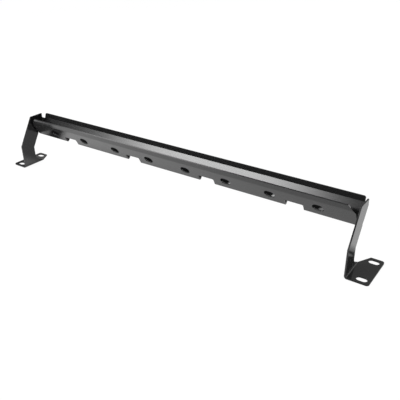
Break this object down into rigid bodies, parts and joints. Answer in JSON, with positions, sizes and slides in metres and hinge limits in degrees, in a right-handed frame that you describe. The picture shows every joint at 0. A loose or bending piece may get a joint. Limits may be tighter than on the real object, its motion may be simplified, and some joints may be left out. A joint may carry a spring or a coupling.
{
  "type": "rack cable lacing bar",
  "caption": "Folded steel lacing bar for a 19 inch rack: V trough with tie holes and strap notches, on offset arms with slotted ears.",
  "frame": {"origin": "middle of the four mounting slots, on the face of the ears that lies on the rack", "axes": "+X along the bar to its right end, +Y from the front edges of the ears to the back, +Z away from the rack"},
  "size_m": [0.4826, 0.0445, 0.0642],
  "materials": {
    "black_coat": "smooth semi-gloss black coat"
  },
  "bodies": {
    "root": {"lacing_bar": "black_coat"}
  },
  "joints": []
}
